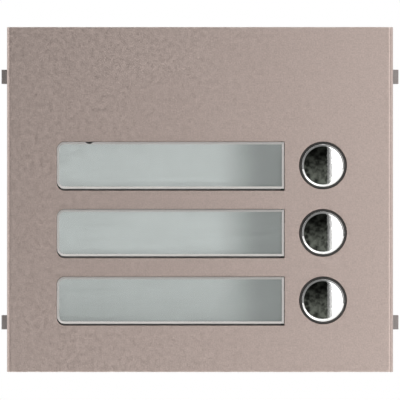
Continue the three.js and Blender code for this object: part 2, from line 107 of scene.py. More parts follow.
# a block given by its middle in X and Z and its size there
def addBar(name, centre, size, frontY, backY):
    x, z = centre
    halfX, halfZ = size[0] / 2, size[1] / 2
    return addBlock(name, (x - halfX, frontY, z - halfZ), (x + halfX, backY, z + halfZ))


def addRod(name, centre, radius, frontY, backY, sides=64):
    letGo()
    place = (centre[0], (frontY + backY) / 2, centre[1])
    bpy.ops.mesh.primitive_cylinder_add(
        vertices=sides, radius=radius, depth=backY - frontY, location=place, rotation=(math.pi / 2, 0, 0))
    return bakePlace(bpy.context.object, name)


def middleOf(part):
    points = [corner.co for corner in part.verts]
    return sum(points, Vector()) / len(points)


# goes into edit mode with only the wanted faces, edges or points selected
def choose(piece, kind, wanted):
    takeHold(piece)
    bpy.ops.object.mode_set(mode="EDIT")
    bpy.ops.mesh.select_mode(type=kind)
    bpy.ops.mesh.select_all(action="DESELECT")
    shape = bmesh.from_edit_mesh(piece.data)
    parts = {"FACE": shape.faces, "EDGE": shape.edges, "VERT": shape.verts}[kind]
    for part in parts:
        if wanted(part):
            part.select_set(True)
    bmesh.update_edit_mesh(piece.data)


def faceLooks(direction, limit=0.9):
    wantedWay = Vector(direction)
    return lambda face: face.normal.dot(wantedWay) > limit


def edgeRuns(axis, place=None):
    def wanted(edge):
        a, b = edge.verts[0].co, edge.verts[1].co
        along = abs(a[axis] - b[axis])
        straight = along > 0.99 * (a - b).length and along > 0
        return straight and (place is None or place(middleOf(edge)))
    return wanted


# rounds or chamfers the edges that run along one axis
def roundAlong(piece, axis, width, segments, place=None):
    choose(piece, "EDGE", edgeRuns(axis, place))
    bpy.ops.mesh.bevel(offset=width, segments=segments, affect="EDGES")
    leaveEdit()


def applyModifier(piece, modifier):
    takeHold(piece)
    bpy.ops.object.modifier_apply(modifier=modifier.name)


def combine(piece, others, operation):
    for other in others:
        step = piece.modifiers.new("combine", "BOOLEAN")
        step.operation = operation
        step.solver = "EXACT"
        step.object = other
        applyModifier(piece, step)
        bpy.data.objects.remove(other, do_unlink=True)
    return piece


# rounds every sharp edge by a little and shades the rest smooth
def breakEdges(piece, width, segments=2, sharperThan=35):
    step = piece.modifiers.new("edges", "BEVEL")
    step.width = width
    step.segments = segments
    step.limit_method = "ANGLE"
    step.angle_limit = math.radians(sharperThan)
    step.miter_outer = "MITER_ARC"
    applyModifier(piece, step)
    bpy.ops.object.shade_smooth_by_angle(angle=math.radians(38))
    weigh = piece.modifiers.new("weigh", "WEIGHTED_NORMAL")
    weigh.weight = 100
    weigh.keep_sharp = True
    applyModifier(piece, weigh)
    return piece


# a turned piece about an axis along Y: a disc, pushed and resized from one (radius, y) to the next
def turnPiece(name, centre, profile, sides=64):
    letGo()
    radius, y = profile[0]
    bpy.ops.mesh.primitive_circle_add(
        vertices=sides, radius=radius, fill_type="NGON", location=(centre[0], y, centre[1]),
        rotation=(math.pi / 2, 0, 0))
    piece = bakePlace(bpy.context.object, name)
    choose(piece, "FACE", lambda face: True)
    for nextRadius, nextY in profile[1:]:
        bpy.ops.mesh.extrude_region_move(TRANSFORM_OT_translate={"value": (0, nextY - y, 0)})
        ratio = nextRadius / radius
        bpy.ops.transform.resize(value=(ratio, 1, ratio), center_override=(centre[0], nextY, centre[1]))
        radius, y = nextRadius, nextY
    bpy.ops.mesh.select_all(action="SELECT")
    bpy.ops.mesh.normals_make_consistent(inside=False)
    leaveEdit()
    return piece


def copyPiece(piece, name, shift=(0, 0, 0)):
    twin = piece.copy()
    twin.data = piece.data.copy()
    bpy.context.scene.collection.objects.link(twin)
    twin.location = shift
    return bakePlace(twin, name)


def joinUp(pieces, name):
    letGo()
    for piece in pieces:
        piece.select_set(True)
    bpy.context.view_layer.objects.active = pieces[0]
    bpy.ops.object.join()
    return bakePlace(bpy.context.object, name)


# a merged copy of a CAD node, to be worked on
def copyNode(node, name):
    twin = frame["nodes"][node].copy()
    twin.data = twin.data.copy()
    twin.parent = None
    for key in list(twin.keys()):
        del twin[key]
    bpy.context.scene.collection.objects.link(twin)
    twin.name = name
    twin.data.name = name
    takeHold(twin)
    bpy.ops.object.mode_set(mode="EDIT")
    bpy.ops.mesh.select_all(action="SELECT")
    bpy.ops.mesh.remove_doubles(threshold=0.00001)
    bpy.ops.mesh.dissolve_limited(angle_limit=math.radians(1))
    leaveEdit()
    return twin


def dress(piece, material):
    if not piece.material_slots:
        piece.data.materials.append(material)
    for holder in piece.material_slots:
        holder.material = material


# gives a finished piece its finish and body, and hides the CAD nodes it replaces
def handOver(piece, body, finish, nodes=(), slotName=None):
    dress(piece, finishes[finish])
    slotName = slotName or finish
    if nodes:
        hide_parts(*nodes)
    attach(piece, body)


def centreOf(node):
    low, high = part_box(node)
    return (low + high) / 2


def nodesLike(stem):
    return [node for node in sorted(slotOfNode) if node == stem or re.fullmatch(stem + r"_\d+", node)]


# shader groups shared by the finishes

def startGroup(name, inputs, outputs):
    group = bpy.data.node_groups.new(name, "ShaderNodeTree")
    for label, value in inputs.items():
        socket = group.interface.new_socket(name=label, in_out="INPUT", socket_type="NodeSocketFloat")
        socket.default_value = value
    for label in outputs:
        group.interface.new_socket(name=label, in_out="OUTPUT", socket_type="NodeSocketFloat")
    entry = group.nodes.new("NodeGroupInput")
    leave = group.nodes.new("NodeGroupOutput")
    return group, entry, leave


# sets an input to a number, or links it to another node's output
def feed(tree, socket, value):
    if isinstance(value, (int, float)):
        socket.default_value = value
    else:
        tree.links.new(value, socket)


def sums(tree, operation, first, second=None, clamp=False):
    node = tree.nodes.new("ShaderNodeMath")
    node.operation = operation
    node.use_clamp = clamp
    for place, value in enumerate((first, second)):
        if value is not None:
            feed(tree, node.inputs[place], value)
    return node.outputs[0]


def remap(tree, value, fromLow, fromHigh, toLow, toHigh, smooth=False):
    node = tree.nodes.new("ShaderNodeMapRange")
    node.interpolation_type = "SMOOTHSTEP" if smooth else "LINEAR"
    tree.links.new(value, node.inputs["Value"])
    amounts = {"From Min": fromLow, "From Max": fromHigh, "To Min": toLow, "To Max": toHigh}
    for label, amount in amounts.items():
        feed(tree, node.inputs[label], amount)
    return node.outputs["Result"]


def objectPlace(tree):
    return tree.nodes.new("ShaderNodeTexCoord").outputs["Object"]


def noiseAt(tree, scale, detail=3.0, roughness=0.55, stretch=None):
    node = tree.nodes.new("ShaderNodeTexNoise")
    node.inputs["Detail"].default_value = detail
    node.inputs["Roughness"].default_value = roughness
    place = objectPlace(tree)
    if stretch:
        mapping = tree.nodes.new("ShaderNodeMapping")
        mapping.inputs["Scale"].default_value = stretch
        tree.links.new(place, mapping.inputs["Vector"])
        place = mapping.outputs["Vector"]
    tree.links.new(place, node.inputs["Vector"])
    feed(tree, node.inputs["Scale"], scale)
    return node.outputs["Fac"]


# grain: fine and coarse noise together, for colour, roughness and bump
def makeGrainGroup():
    group, entry, leave = startGroup("surfaceGrain", {"Fine": 2500.0, "Coarse": 300.0}, ("Grain", "Cloud"))
    fine = noiseAt(group, entry.outputs["Fine"], detail=2.0)
    coarse = noiseAt(group, entry.outputs["Coarse"], detail=4.0)
    mixed = sums(group, "ADD", sums(group, "MULTIPLY", fine, 0.65), sums(group, "MULTIPLY", coarse, 0.35))
    group.links.new(remap(group, mixed, 0.3, 0.7, 0, 1), leave.inputs["Grain"])
    group.links.new(remap(group, coarse, 0.32, 0.68, 0, 1), leave.inputs["Cloud"])
    return group


# smears left by hands and cloths: soft patches broken by long thin streaks
def makeSmearGroup():
    group, entry, leave = startGroup("handSmears", {"Patch": 45.0, "Streak": 160.0}, ("Smear",))
    patch = noiseAt(group, entry.outputs["Patch"], detail=2.0)
    streak = noiseAt(group, entry.outputs["Streak"], detail=4.0, stretch=(1, 1, 0.18))
    both = sums(group, "MULTIPLY", remap(group, patch, 0.45, 0.7, 0, 1), remap(group, streak, 0.4, 0.7, 0, 1))
    group.links.new(both, leave.inputs["Smear"])
    return group


# rubbed front edges of a rectangle centred in X and Z, broken up by noise
def makeRubbedGroup():
    group, entry, leave = startGroup(
        "rubbedEdges", {"HalfX": 0.06, "HalfZ": 0.05, "FrontY": 0.0, "Width": 0.0008}, ("Rubbed",))
    split = group.nodes.new("ShaderNodeSeparateXYZ")
    group.links.new(objectPlace(group), split.inputs[0])
    insetX = sums(group, "SUBTRACT", entry.outputs["HalfX"], sums(group, "ABSOLUTE", split.outputs["X"]))
    insetZ = sums(group, "SUBTRACT", entry.outputs["HalfZ"], sums(group, "ABSOLUTE", split.outputs["Z"]))
    behind = sums(group, "SUBTRACT", split.outputs["Y"], entry.outputs["FrontY"])
    nearest = sums(group, "MAXIMUM", sums(group, "MINIMUM", insetX, insetZ), behind)
    nearEdge = remap(group, nearest, 0, entry.outputs["Width"], 1, 0, smooth=True)
    broken = remap(group, noiseAt(group, 420.0, detail=3.0), 0.38, 0.62, 0, 1)
    group.links.new(sums(group, "MULTIPLY", nearEdge, broken), leave.inputs["Rubbed"])
    return group


grainGroup = makeGrainGroup()
smearGroup = makeSmearGroup()
rubbedGroup = makeRubbedGroup()


def useGroup(tree, group, **values):
    node = tree.nodes.new("ShaderNodeGroup")
    node.node_tree = group
    for label, value in values.items():
        node.inputs[label].default_value = value
    return node


def newFinish(name):
    material = bpy.data.materials.new(name)
    material.use_nodes = True
    return material, material.node_tree, material.node_tree.nodes["Principled BSDF"]


def blendColour(tree, factor, first, second):
    node = tree.nodes.new("ShaderNodeMix")
    node.data_type = "RGBA"
    feed(tree, node.inputs["Factor"], factor)
    for socket, colour in ((node.inputs[6], first), (node.inputs[7], second)):
        if isinstance(colour, tuple):
            socket.default_value = (*colour, 1)
        else:
            tree.links.new(colour, socket)
    return node.outputs[2]


def addBump(tree, shader, height, strength, distance):
    bump = tree.nodes.new("ShaderNodeBump")
    bump.inputs["Strength"].default_value = strength
    bump.inputs["Distance"].default_value = distance
    tree.links.new(height, bump.inputs["Height"])
    tree.links.new(bump.outputs["Normal"], shader.inputs["Normal"])


# plain finishes: two shades mixed by the grain, a roughness that varies with it, and a fine bump
def grainedFinish(name, look):
    material, tree, shader = newFinish(name)
    grain = useGroup(tree, grainGroup, Fine=look["fine"], Coarse=look["coarse"])
    colour = blendColour(tree, grain.outputs["Grain"], look["dark"], look["light"])
    tree.links.new(colour, shader.inputs["Base Color"])
    smear = useGroup(tree, smearGroup, Patch=60.0, Streak=220.0)
    rough = remap(tree, grain.outputs["Cloud"], 0, 1, *look["roughness"])
    rough = sums(tree, "ADD", rough, sums(tree, "MULTIPLY", smear.outputs["Smear"], 0.08), clamp=True)
    tree.links.new(rough, shader.inputs["Roughness"])
    shader.inputs["Metallic"].default_value = look.get("metallic", 0.0)
    if "coat" in look:
        shader.inputs["Coat Weight"].default_value = look["coat"]
        shader.inputs["Coat Roughness"].default_value = 0.15
    addBump(tree, shader, grain.outputs["Grain"], look["bump"], look["bumpDepth"])
    return material


plainLooks = {
    "grey_plastic": dict(dark=(0.295, 0.274, 0.268), light=(0.360, 0.335, 0.327), fine=3800.0, coarse=700.0,
                         roughness=(0.42, 0.58), bump=0.35, bumpDepth=0.00008),
    "black_plastic": dict(dark=(0.010, 0.010, 0.011), light=(0.020, 0.020, 0.022), fine=3000.0, coarse=500.0,
                          roughness=(0.32, 0.45), bump=0.2, bumpDepth=0.00005),
    "diffuser": dict(dark=(0.72, 0.73, 0.72), light=(0.80, 0.80, 0.78), fine=1500.0, coarse=200.0,
                     roughness=(0.35, 0.5), bump=0.1, bumpDepth=0.00004),
    "black_rubber": dict(dark=(0.062, 0.058, 0.056), light=(0.095, 0.090, 0.086), fine=2600.0, coarse=500.0,
                         roughness=(0.65, 0.85), bump=0.3, bumpDepth=0.00006),
    "spring_steel": dict(dark=(0.42, 0.41, 0.40), light=(0.58, 0.57, 0.56), fine=4000.0, coarse=900.0,
                         roughness=(0.22, 0.36), metallic=1.0, bump=0.15, bumpDepth=0.00003),
    "led_resin": dict(dark=(0.80, 0.72, 0.42), light=(0.88, 0.82, 0.55), fine=2500.0, coarse=500.0,
                      roughness=(0.15, 0.25), bump=0.05, bumpDepth=0.00002, coat=0.4),
    "terminal_plastic": dict(dark=(0.030, 0.115, 0.055), light=(0.045, 0.155, 0.075),
                             fine=3200.0, coarse=600.0,
                             roughness=(0.4, 0.52), bump=0.25, bumpDepth=0.00006),
    "zinc_screw": dict(dark=(0.46, 0.47, 0.46), light=(0.64, 0.65, 0.63), fine=3500.0, coarse=1200.0,
                       roughness=(0.24, 0.42), metallic=1.0, bump=0.2, bumpDepth=0.00003),
    # painted highlight: a pale frosted shell for the label covers' bevels, its colour standing in for their
    # highlights
    "frosted_rim": dict(dark=(0.49, 0.475, 0.46), light=(0.59, 0.575, 0.56), fine=4200.0, coarse=900.0,
                        roughness=(0.28, 0.42), bump=0.15, bumpDepth=0.00003),
    "brass_pin": dict(dark=(0.60, 0.42, 0.16), light=(0.74, 0.55, 0.26), fine=3500.0, coarse=900.0,
                      roughness=(0.2, 0.35), metallic=1.0, bump=0.1, bumpDepth=0.00002),
    "tin_cap": dict(dark=(0.52, 0.52, 0.53), light=(0.70, 0.70, 0.71), fine=4000.0, coarse=1200.0,
                    roughness=(0.25, 0.4), metallic=1.0, bump=0.1, bumpDepth=0.00002),
}
finishes = {name: grainedFinish(name, look) for name, look in plainLooks.items()}


# satin metal, its dye rubbed thin along the front edges
plateLook = dict(dark=(0.450, 0.363, 0.330), light=(0.590, 0.480, 0.441), rubbed=(0.80, 0.73, 0.68),
                 fine=2100.0, coarse=700.0, metallic=0.75, roughness=(0.36, 0.47), bump=0.22,
                 bumpDepth=0.00005, rubbedWidth=0.0006, rubbedShare=0.5, rubbedShine=0.08, smearShare=0.04)


def makePlateFinish():
    material, tree, shader = newFinish("anodised_aluminium")
    low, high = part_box("face_plate")
    grain = useGroup(tree, grainGroup, Fine=plateLook["fine"], Coarse=plateLook["coarse"])
    smear = useGroup(tree, smearGroup, Patch=38.0, Streak=130.0)
    rubbed = useGroup(tree, rubbedGroup, HalfX=high.x, HalfZ=high.z, FrontY=low.y,
                      Width=plateLook["rubbedWidth"])
    body = blendColour(tree, grain.outputs["Grain"], plateLook["dark"], plateLook["light"])
    cloudy = sums(tree, "MULTIPLY", smear.outputs["Smear"], plateLook["smearShare"])
    body = blendColour(tree, cloudy, body, plateLook["rubbed"])
    worn = sums(tree, "MULTIPLY", rubbed.outputs["Rubbed"], plateLook["rubbedShare"])
    tree.links.new(blendColour(tree, worn, body, plateLook["rubbed"]), shader.inputs["Base Color"])
    rough = remap(tree, grain.outputs["Cloud"], 0, 1, *plateLook["roughness"])
    shine = sums(tree, "MULTIPLY", rubbed.outputs["Rubbed"], plateLook["rubbedShine"])
    rough = sums(tree, "SUBTRACT", rough, shine, clamp=True)
    tree.links.new(rough, shader.inputs["Roughness"])
    shader.inputs["Metallic"].default_value = plateLook["metallic"]
    addBump(tree, shader, grain.outputs["Grain"], plateLook["bump"], plateLook["bumpDepth"])
    return material


chromeLook = dict(colour=(0.86, 0.86, 0.85), tarnish=(0.70, 0.69, 0.67), roughness=(0.025, 0.07),
                  bump=0.06, bumpDepth=0.00004)


def makeChrome():
    material, tree, shader = newFinish("chrome")
    smear = useGroup(tree, smearGroup, Patch=260.0, Streak=900.0)
    grain = useGroup(tree, grainGroup, Fine=6000.0, Coarse=700.0)
    colour = blendColour(tree, smear.outputs["Smear"], chromeLook["colour"], chromeLook["tarnish"])
    tree.links.new(colour, shader.inputs["Base Color"])
    rough = remap(tree, smear.outputs["Smear"], 0, 1, *chromeLook["roughness"])
    tree.links.new(rough, shader.inputs["Roughness"])
    shader.inputs["Metallic"].default_value = 1.0
    addBump(tree, shader, grain.outputs["Cloud"], chromeLook["bump"], chromeLook["bumpDepth"])
    return material


# the card: brushed silvery film with painted shade: darker towards the right end and a little lower down,
# standing in for darker reflections
filmLook = dict(left=(0.630, 0.668, 0.663), right=(0.302, 0.321, 0.317), fadeFrom=0.0035, fadeTo=0.020,
                lowFrom=-0.0155, lowTo=-0.0385, lowShade=0.31, shade=(0.2, 0.21, 0.2), brushedShare=0.10,
                cloudShare=0.05, metallic=0.25, roughness=(0.3, 0.42), bump=0.12, bumpDepth=0.00003)


def makeFilm():
    material, tree, shader = newFinish("label_film")
    split = tree.nodes.new("ShaderNodeSeparateXYZ")
    tree.links.new(objectPlace(tree), split.inputs[0])
    # painted shade: the film darkens towards its right end, standing in for a darker reflection there
    paintedRightShade = remap(tree, split.outputs["X"], filmLook["fadeFrom"], filmLook["fadeTo"], 0, 1, smooth=True)
    grain = useGroup(tree, grainGroup, Fine=2600.0, Coarse=120.0)
    brushed = noiseAt(tree, 900.0, detail=4.0, stretch=(0.06, 1, 1))
    colour = blendColour(tree, paintedRightShade, filmLook["left"], filmLook["right"])
    lines = sums(tree, "MULTIPLY", brushed, filmLook["brushedShare"])
    clouds = sums(tree, "MULTIPLY", grain.outputs["Cloud"], filmLook["cloudShare"])
    # painted shade: the film darkens lower down, standing in for a darker reflection on the lower labels
    low = remap(tree, split.outputs["Z"], filmLook["lowFrom"], filmLook["lowTo"], 0, filmLook["lowShade"])
    shade = sums(tree, "ADD", sums(tree, "ADD", lines, clouds),
                 sums(tree, "MULTIPLY", low, sums(tree, "SUBTRACT", 1, paintedRightShade)))
    tree.links.new(blendColour(tree, shade, colour, filmLook["shade"]), shader.inputs["Base Color"])
    tree.links.new(remap(tree, brushed, 0.3, 0.7, *filmLook["roughness"]), shader.inputs["Roughness"])
    shader.inputs["Metallic"].default_value = filmLook["metallic"]
    addBump(tree, shader, brushed, filmLook["bump"], filmLook["bumpDepth"])
    return material


# lets lamps light what is behind a clear piece, and through the pale rim that paints the label bevels'
# highlights
def passLamps(tree):
    shader = tree.nodes["Principled BSDF"]
    passing = tree.nodes.new("ShaderNodeBsdfTransparent")
    ray = tree.nodes.new("ShaderNodeLightPath")
    mixer = tree.nodes.new("ShaderNodeMixShader")
    tree.links.new(ray.outputs["Is Shadow Ray"], mixer.inputs["Fac"])
    tree.links.new(shader.outputs[0], mixer.inputs[1])
    tree.links.new(passing.outputs[0], mixer.inputs[2])
    tree.links.new(mixer.outputs[0], tree.nodes["Material Output"].inputs["Surface"])


clearLook = dict(colour=(0.98, 0.99, 0.985, 1), roughness=(0.02, 0.09), ior=1.49)


def makeClear():
    material, tree, shader = newFinish("clear_cover")
    smear = useGroup(tree, smearGroup, Patch=70.0, Streak=300.0)
    rough = remap(tree, smear.outputs["Smear"], 0, 1, *clearLook["roughness"])
    tree.links.new(rough, shader.inputs["Roughness"])
    shader.inputs["Base Color"].default_value = clearLook["colour"]
    shader.inputs["Transmission Weight"].default_value = 1.0
    shader.inputs["IOR"].default_value = clearLook["ior"]
    passLamps(tree)
    return material


# solder mask with fine copper tracks showing through
boardLook = dict(dark=(0.012, 0.085, 0.040), light=(0.018, 0.115, 0.055), track=(0.045, 0.20, 0.085),
                 trackScale=160.0, trackGap=0.045, trackLength=2.6, trackPitch=0.24,
                 roughness=(0.22, 0.34), coat=0.3, bump=0.25, bumpDepth=0.00004)


def makeBoardFinish():
    material, tree, shader = newFinish("board")
    grain = useGroup(tree, grainGroup, Fine=3000.0, Coarse=250.0)
    turned = tree.nodes.new("ShaderNodeMapping")
    turned.inputs["Rotation"].default_value = (math.pi / 2, 0, 0)
    tree.links.new(objectPlace(tree), turned.inputs["Vector"])
    tracks = tree.nodes.new("ShaderNodeTexBrick")
    tracks.inputs["Scale"].default_value = boardLook["trackScale"]
    tracks.inputs["Mortar Size"].default_value = boardLook["trackGap"]
    tracks.inputs["Brick Width"].default_value = boardLook["trackLength"]
    tracks.inputs["Row Height"].default_value = boardLook["trackPitch"]
    for label, level in (("Color1", 0), ("Color2", 0), ("Mortar", 1)):
        tracks.inputs[label].default_value = (level, level, level, 1)
    tree.links.new(turned.outputs["Vector"], tracks.inputs["Vector"])
    mask = blendColour(tree, grain.outputs["Grain"], boardLook["dark"], boardLook["light"])
    colour = blendColour(tree, tracks.outputs["Color"], mask, boardLook["track"])
    tree.links.new(colour, shader.inputs["Base Color"])
    rough = remap(tree, grain.outputs["Cloud"], 0, 1, *boardLook["roughness"])
    tree.links.new(rough, shader.inputs["Roughness"])
    shader.inputs["Coat Weight"].default_value = boardLook["coat"]
    addBump(tree, shader, tracks.outputs["Fac"], boardLook["bump"], boardLook["bumpDepth"])
    return material


finishes["anodised_aluminium"] = makePlateFinish()
finishes["chrome"] = makeChrome()
finishes["label_film"] = makeFilm()
finishes["clear_cover"] = makeClear()
finishes["board"] = makeBoardFinish()
passLamps(finishes["frosted_rim"].node_tree)
print("finishes made:", len(finishes))

slotOfNode = {part["node"]: part["material_slot"] for part in frame["record"]["subparts"]}
bodies = frame["record"]["behaviour"]["bodies"]
bodyOfNode = {node: body for body, nodes in bodies.items() for node in nodes}
for nodeName, node in frame["nodes"].items():
    dress(node, finishes[slotOfNode[nodeName]])


# face plate: channel with rolled-over side edges, cut for the windows and buttons
plate = dict(thickness=2 * mm, sideRadius=1.4 * mm, lipThickness=1.2 * mm, lipReach=1.2 * mm,
             windowGaps=(0.12 * mm, 0.12 * mm, 0.14 * mm, 0.6 * mm), holeRadius=7.4 * mm,
             cornerRadius=2.3 * mm, rimRound=0.16 * mm, cutterOver=2 * mm)


# the outline of a label made a block, grown by gaps at its left, top, right and bottom
def labelBlock(name, row, gaps, frontY, backY):
    low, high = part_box(f"label_cover_{row}")
    left, above, right, below = gaps
    block = addBlock(name, (low.x - left, frontY, low.z - below), (high.x + right, backY, high.z + above))
    roundAlong(block, 1, plate["cornerRadius"] + left, 8, lambda middle: middle.x < 0)
    return block


def makeFacePlate():
    low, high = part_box("face_plate")
    backY = low.y + plate["thickness"]
    lipY = high.y - plate["lipThickness"]
    innerX = high.x - plate["thickness"]
    over = plate["cutterOver"]
    piece = addBlock("facePlate", low, high)
    roundAlong(piece, 2, plate["sideRadius"], 8, lambda middle: middle.y < low.y + 0.1 * mm)
    bottom, top = low.z - over, high.z + over
    groove = addBlock("groove", (-innerX, backY, bottom), (innerX, lipY, top))
    mouthX = innerX - plate["lipReach"]
    mouth = addBlock("mouth", (-mouthX, lipY - 0.5 * mm, bottom), (mouthX, high.y + over, top))
    combine(piece, [groove, mouth], "DIFFERENCE")
    cutters = []
    for row in rowNumbers:
        middle = centreOf(f"button_cap_{row}")
        hole = (middle.x, middle.z)
        cutters.append(labelBlock("window", row, plate["windowGaps"], low.y - over, backY + over))
        cutters.append(addRod("hole", hole, plate["holeRadius"], low.y - over, backY + over, 96))
    combine(piece, cutters, "DIFFERENCE")
    breakEdges(piece, plate["rimRound"], segments=3)
    handOver(piece, "housing", "anodised_aluminium", ["face_plate"])


makeFacePlate()
print("face plate made")


# label covers: bevelled clear lids with a pale frosted rim on the bevels as painted highlight; the first has
# the notch to lift it by
cover = dict(lidDepth=2 * mm, bevel=0.7 * mm, rimThickness=0.04 * mm, rounding=0.05 * mm,
             notchRadius=1.5 * mm, notchDepth=0.55 * mm, notchFromLeft=10 * mm)


# the rod that cuts the notch in the top edge of label 1
def liftingNotch(frontY, backY):
    low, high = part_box("label_cover_1")
    place = (low.x + cover["notchFromLeft"], high.z + cover["notchRadius"] - cover["notchDepth"])
    return addRod("notch", place, cover["notchRadius"], frontY, backY, 48)


def makeLabelCover(row):
    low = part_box(f"label_cover_{row}")[0]
    lidBackY = low.y + cover["lidDepth"]
    piece = labelBlock(f"labelCover{row}", row, (0, 0, 0, 0), low.y, lidBackY)
    choose(piece, "FACE", faceLooks((0, -1, 0)))
    bpy.ops.mesh.bevel(offset=cover["bevel"], segments=1, affect="EDGES")
    leaveEdit()
    # painted highlight: a thin pale frosted shell over the bevel faces, lit by the lamps but letting their
    # light through; its pale colour stands in for the bevels' highlights
    highlightRim = copyPiece(piece, f"labelHighlightRim{row}")
    choose(highlightRim, "FACE", lambda face: not -0.9 < face.normal.y < -0.3)
    bpy.ops.mesh.delete(type="FACE")
    leaveEdit()
    thicken = highlightRim.modifiers.new("thicken", "SOLIDIFY")
    thicken.thickness = cover["rimThickness"]
    thicken.offset = 1
    applyModifier(highlightRim, thicken)
    if row == 1:
        for shape in (piece, highlightRim):
            combine(shape, [liftingNotch(low.y - mm, lidBackY + mm)], "DIFFERENCE")
    breakEdges(piece, cover["rounding"], segments=2, sharperThan=25)
    handOver(piece, f"label_{row}", "clear_cover", [f"label_cover_{row}"])
    takeHold(highlightRim)
    bpy.ops.object.shade_smooth_by_angle(angle=math.radians(30))
    handOver(highlightRim, f"label_{row}", "frosted_rim", slotName="clear_cover")


# the milky legs that clip a cover into the chassis, with a small barb near the end of each
clip = dict(width=0.6 * mm, height=6 * mm, cardGap=0.06 * mm, lidGap=0.02 * mm, corner=0.15 * mm,
            barbOut=0.2 * mm, barbDepth=0.5 * mm, rounding=0.06 * mm)


# the legs' two places as blocks, wider all round by a gap
def legBlocks(row, gap, frontY, backY):
    low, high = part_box(f"label_cover_{row}")
    middleZ = (low.z + high.z) / 2
    size = (clip["width"] + 2 * gap, clip["height"] + 2 * gap)
    inset = clip["width"] / 2
    return [addBar("leg", (x, middleZ), size, frontY, backY) for x in (low.x + inset, high.x - inset)]


def makeLabelClips(row):
    low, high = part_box(f"label_cover_{row}")
    barbY = high.y - clip["barbDepth"]
    legs = legBlocks(row, 0, low.y + cover["lidDepth"] + clip["lidGap"], high.y)
    for leg, outward in zip(legs, (-1, 1)):
        roundAlong(leg, 1, clip["corner"], 2)
        middleX = sum(corner[0] for corner in leg.bound_box) / 8

        def onBarb(point):
            return abs(point.co.y - barbY) < 0.01 * mm and (point.co.x - middleX) * outward > 0

        choose(leg, "FACE", lambda face: True)
        bpy.ops.mesh.bisect(plane_co=(0, barbY, 0), plane_no=(0, 1, 0))
        choose(leg, "VERT", onBarb)
        bpy.ops.transform.translate(value=(outward * clip["barbOut"], 0, 0))
        leaveEdit()
    piece = combine(legs[0], legs[1:], "UNION")
    piece.name = piece.data.name = f"labelClips{row}"
    breakEdges(piece, clip["rounding"], segments=2)
    handOver(piece, f"label_{row}", "diffuser")


# label cards: thin film, cut away round the legs of the cover
card = dict(cornerRadius=2.15 * mm, rounding=0.05 * mm)


def makeLabelCard(row):
    low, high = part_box(f"label_card_{row}")
    piece = addBlock(f"labelCard{row}", low, high)
    roundAlong(piece, 1, card["cornerRadius"], 8, lambda middle: middle.x < 0)
    combine(piece, legBlocks(row, clip["cardGap"], low.y - mm, high.y + mm), "DIFFERENCE")
    if row == 1:
        combine(piece, [liftingNotch(low.y - mm, high.y + mm)], "DIFFERENCE")
    breakEdges(piece, card["rounding"], segments=1)
    handOver(piece, f"label_{row}", "label_film", [f"label_card_{row}"])


for row in rowNumbers:
    makeLabelCover(row)
    makeLabelClips(row)
    makeLabelCard(row)
print("label covers and cards made")


# button caps: turned, with a shallow mirror dome, a bright bevel and the flange and stem behind
cap = dict(radius=6.6 * mm, domeHeight=0.45 * mm, domeRings=18, bevelWidth=0.55 * mm, bevelDepth=0.38 * mm,
           flangeRadius=8.7 * mm, flangeThickness=1 * mm, sealGap=0.3 * mm, stemRadius=2.5 * mm,
           rounding=0.05 * mm)


def makeButtonCap(row):
    low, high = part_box(f"button_cap_{row}")
    middle = (low + high) / 2
    faceRadius = cap["radius"] - cap["bevelWidth"]
    edgeY = low.y + cap["domeHeight"]
    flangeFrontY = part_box(f"button_seal_{row}")[1].y + cap["sealGap"]
    flangeBackY = flangeFrontY + cap["flangeThickness"]
    profile = [
        (cap["stemRadius"], high.y),
        (cap["stemRadius"], flangeBackY),
        (cap["flangeRadius"], flangeBackY),
        (cap["flangeRadius"], flangeFrontY),
        (cap["radius"], flangeFrontY),
        (cap["radius"], edgeY + cap["bevelDepth"]),
        (faceRadius, edgeY),
    ]
    for ring in range(cap["domeRings"] - 1, 0, -1):
        share = ring / cap["domeRings"]
        profile.append((faceRadius * share, edgeY - cap["domeHeight"] * (1 - share ** 2)))
    piece = turnPiece(f"buttonCap{row}", (middle.x, middle.z), profile, sides=96)
    choose(piece, "FACE", lambda face: len(face.verts) > 4 and face.normal.y < -0.9)
    bpy.ops.mesh.poke()
    leaveEdit()
    breakEdges(piece, cap["rounding"], segments=3, sharperThan=25)
    handOver(piece, f"button_{row}", "chrome", [f"button_cap_{row}"])


# return springs: a round wire wound by the screw modifier
spring = dict(wire=0.25 * mm, turns=3.5, sides=12, stepsPerTurn=28)


def makeSpring(row):
    low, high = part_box(f"button_spring_{row}")
    middle = (low + high) / 2
    coilRadius = (high.x - low.x) / 2 - spring["wire"]
    rise = high.y - low.y - 2 * spring["wire"]
    letGo()
    bpy.ops.mesh.primitive_circle_add(
        vertices=spring["sides"], radius=spring["wire"], location=(coilRadius, 0, 0))
    piece = bakePlace(bpy.context.object, f"buttonSpring{row}")
    wind = piece.modifiers.new("wind", "SCREW")
    wind.axis = "Y"
    wind.angle = 2 * math.pi * spring["turns"]
    wind.screw_offset = rise
    wind.steps = wind.render_steps = round(spring["turns"] * spring["stepsPerTurn"])
    applyModifier(piece, wind)
    piece.location = (middle.x, low.y + spring["wire"], middle.z)
    bakePlace(piece, piece.name)
    takeHold(piece)
    bpy.ops.object.mode_set(mode="EDIT")
    bpy.ops.mesh.select_mode(type="EDGE")
    bpy.ops.mesh.select_all(action="DESELECT")
    bpy.ops.mesh.select_non_manifold()
    bpy.ops.mesh.fill_holes(sides=0)
    bpy.ops.mesh.select_all(action="SELECT")
    bpy.ops.mesh.normals_make_consistent(inside=False)
    leaveEdit()
    bpy.ops.object.shade_smooth_by_angle(angle=math.radians(50))
    handOver(piece, "housing", "spring_steel", [f"button_spring_{row}"])
    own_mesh(piece)


# seals: the flat ring behind the plate, with a lip that fills most of the gap round the cap
seal = dict(lipInner=6.76 * mm, lipOuter=7.26 * mm, lipBehindFace=0.5 * mm, lipOverlap=0.2 * mm,
            rounding=0.1 * mm)


